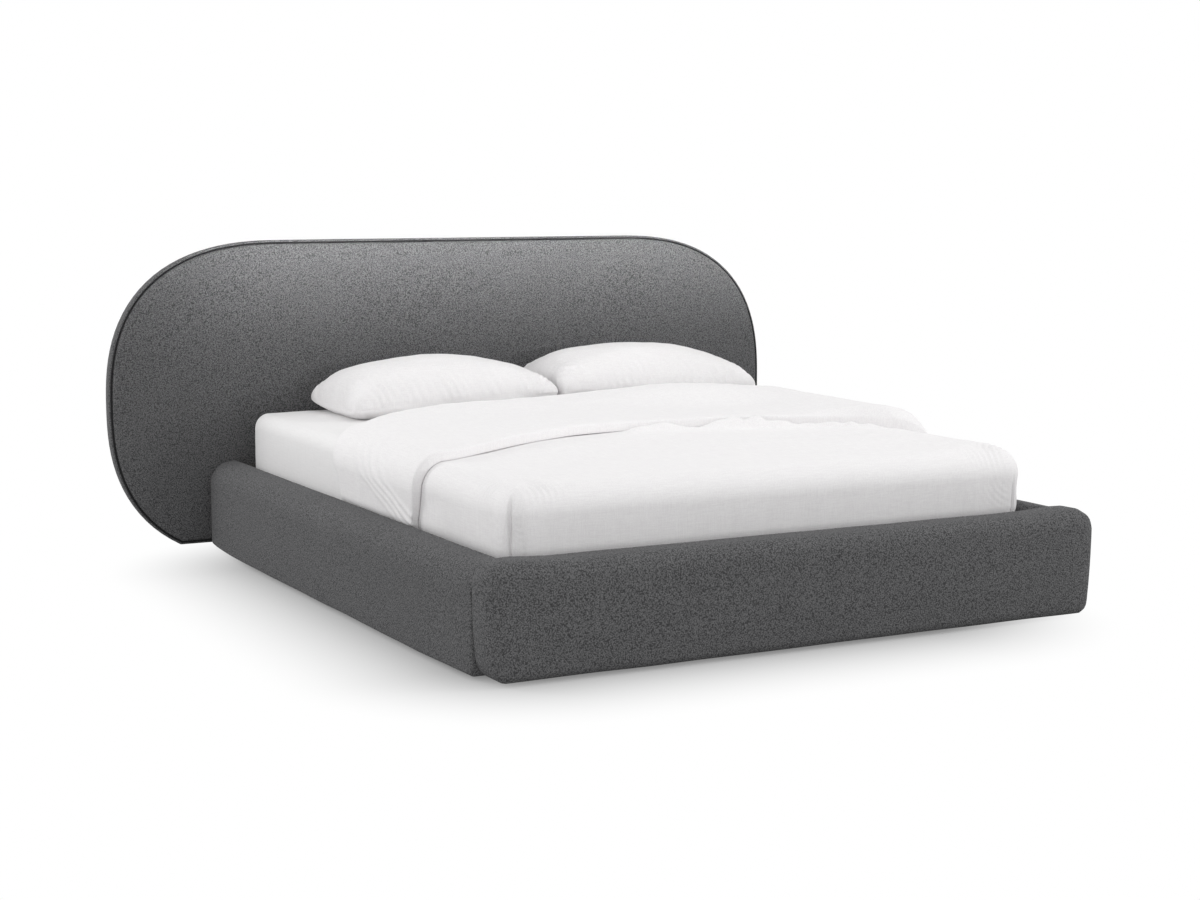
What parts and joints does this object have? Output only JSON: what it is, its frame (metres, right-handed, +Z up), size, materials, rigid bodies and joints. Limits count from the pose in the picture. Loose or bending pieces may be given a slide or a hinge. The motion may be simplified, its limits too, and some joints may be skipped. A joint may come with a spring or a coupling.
{
  "type": "storage bed",
  "caption": "Upholstered storage bed with a rounded headboard and padded rails; its slatted platform lifts on side hinges with struts; dressed with mattress, duvet and pillows.",
  "frame": {"origin": "on the floor, at the middle of the bed's plan", "axes": "+Z up, +Y towards the headboard, +X to the right of someone who stands at the foot and faces the headboard"},
  "size_m": [2.5, 2.345, 1.02],
  "materials": {
    "upholstery": "matt boucle weave",
    "piping": "matt boucle weave",
    "lining": "matt non-woven",
    "foam": "matt open-cell",
    "chipboard": "matt",
    "plywood": "matt",
    "pine": "planed",
    "hardboard": "smooth",
    "zinc_steel": "zinc plated",
    "painted_steel": "powder coated",
    "rubber": "matt",
    "nylon": "moulded",
    "beech": "laminated, satin",
    "strap": "webbing",
    "strut_paint": "gloss",
    "strut_rod": "polished",
    "mattress_ticking": "plain weave",
    "duvet_linen": "washed linen weave",
    "pillow_linen": "washed linen weave"
  },
  "bodies": {
    "base": {"headboard_panel": "plywood", "headboard_battens": "pine", "headboard_foam": "foam", "headboard_cover": "upholstery", "headboard_piping": "piping", "headboard_back_lining": "lining", "left_rail_boards": "chipboard", "left_rail_blocks": "pine", "left_rail_foam": "foam", "left_rail_cover": "upholstery", "right_rail_boards": "chipboard", "right_rail_blocks": "pine", "right_rail_foam": "foam", "right_rail_cover": "upholstery", "foot_boards": "chipboard", "foot_blocks": "pine", "foot_foam": "foam", "foot_cover": "upholstery", "head_crossboard": "chipboard", "corner_brackets": "zinc_steel", "frame_bolts": "zinc_steel", "glides": "nylon", "floor_battens": "pine", "left_floor_panel": "hardboard", "right_floor_panel": "hardboard", "left_ledge": "painted_steel", "right_ledge": "painted_steel", "foot_ledge": "painted_steel", "ledge_screws": "zinc_steel", "rest_pads": "rubber", "left_hinge_plate": "painted_steel", "right_hinge_plate": "painted_steel", "hinge_screws": "zinc_steel", "lower_studs": "zinc_steel"},
    "platform": {"left_side_tube": "painted_steel", "right_side_tube": "painted_steel", "head_tube": "painted_steel", "foot_tube": "painted_steel", "centre_tube": "painted_steel", "left_slats": "beech", "right_slats": "beech", "slat_holders": "nylon", "left_lift_arm": "painted_steel", "right_lift_arm": "painted_steel", "arm_spacers": "zinc_steel", "arm_bolts": "zinc_steel", "pivot_pins": "zinc_steel", "upper_studs": "zinc_steel", "mattress_stops": "painted_steel", "pull_strap": "strap", "mattress": "mattress_ticking", "duvet": "duvet_linen", "left_pillow": "pillow_linen", "right_pillow": "pillow_linen"},
    "left_strut_cylinder": {"left_strut_cylinder": "strut_paint"},
    "right_strut_cylinder": {"right_strut_cylinder": "strut_paint"},
    "left_strut_rod": {"left_strut_rod": "strut_rod"},
    "right_strut_rod": {"right_strut_rod": "strut_rod"}
  },
  "joints": [
    {"name": "platform_lift", "type": "hinge", "parent": "base", "child": "platform", "pos_m": [0, 0.6675, 0.235], "axis": [-1, 0, 0], "range_deg": [0, 30]},
    {"name": "left_strut_tilt", "type": "hinge", "parent": "base", "child": "left_strut_cylinder", "pos_m": [-0.8, 0.7275, 0.045], "axis": [-1, 0, 0], "range_deg": [0, 22.5]},
    {"name": "left_strut_slide", "type": "slide", "parent": "left_strut_cylinder", "child": "left_strut_rod", "axis": [0, -0.965, 0.2623], "range_m": [0, 0.078]},
    {"name": "right_strut_tilt", "type": "hinge", "parent": "base", "child": "right_strut_cylinder", "pos_m": [0.8, 0.7275, 0.045], "axis": [-1, 0, 0], "range_deg": [0, 22.5]},
    {"name": "right_strut_slide", "type": "slide", "parent": "right_strut_cylinder", "child": "right_strut_rod", "axis": [0, -0.965, 0.2623], "range_m": [0, 0.078]}
  ],
  "couplings": [
    {"joint": "left_strut_tilt", "follows": "platform_lift", "ratio": 0.74},
    {"joint": "left_strut_slide", "follows": "platform_lift", "m_per_rad": 0.14144},
    {"joint": "right_strut_tilt", "follows": "platform_lift", "ratio": 0.74},
    {"joint": "right_strut_slide", "follows": "platform_lift", "m_per_rad": 0.14144}
  ]
}
